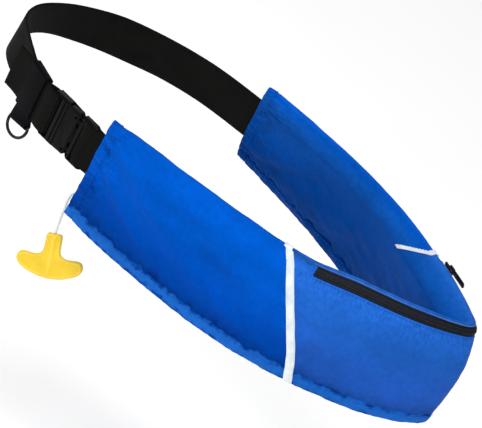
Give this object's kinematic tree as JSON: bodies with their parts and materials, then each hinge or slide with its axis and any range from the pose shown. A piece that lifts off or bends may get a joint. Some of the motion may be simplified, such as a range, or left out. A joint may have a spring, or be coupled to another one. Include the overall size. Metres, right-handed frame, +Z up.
{
  "type": "inflatable belt pack",
  "caption": "Inflatable belt pack: a slim blue zipped cloth pouch on black webbing, with a side-release buckle, strap keeper, D-ring and a yellow pull handle on a cord.",
  "frame": {"origin": "middle of the waist hollow, at half the height of the belt webbing", "axes": "+Z up along the waist, -Y towards the front of the pouch, -X towards the wearer's right side, where the buckle is"},
  "size_m": [0.2406, 0.4654, 0.1568],
  "materials": {
    "blue_cloth": "smooth tight weave, slight sheen",
    "black_webbing": "ribbed weave, matt",
    "black_plastic": "moulded, satin",
    "reflective_tape": "fine glass beads, pale grey",
    "zip_cloth": "fine twill, matt",
    "zip_teeth": "coil with a faint shine",
    "black_metal": "black enamel",
    "yellow_plastic": "moulded, soft gloss",
    "white_cord": "fine braid"
  },
  "bodies": {
    "belt_pack": {"right_wing_cover": "blue_cloth", "left_wing_cover": "blue_cloth", "front_cover": "blue_cloth", "back_panel": "blue_cloth", "bottom_hem": "blue_cloth", "right_end_hem": "blue_cloth", "left_end_hem": "blue_cloth", "right_stripe": "reflective_tape", "left_stripe": "reflective_tape", "zip_tape": "zip_cloth", "zip_coil": "zip_teeth", "zip_slider": "black_metal", "belt_webbing": "black_webbing", "buckle_female": "black_plastic", "buckle_male": "black_plastic", "strap_keeper": "black_webbing", "pull_cord": "white_cord", "cord_anchor": "black_plastic", "pull_handle": "yellow_plastic"},
    "ring": {"d_ring": "black_metal"},
    "pull_tab": {"zip_pull": "black_metal"}
  },
  "joints": [
    {"name": "ring_swing", "type": "hinge", "parent": "belt_pack", "child": "ring", "pos_m": [-0.09596, 0.14789, -0.031], "axis": [-0.3383, -0.9047, 0.2588], "range_deg": [-65, 90]},
    {"name": "pull_tab_swing", "type": "hinge", "parent": "belt_pack", "child": "pull_tab", "pos_m": [0.07284, -0.16685, 0.03422], "axis": [-0.4281, 0.1545, 0.8904], "range_deg": [0, 150]}
  ]
}
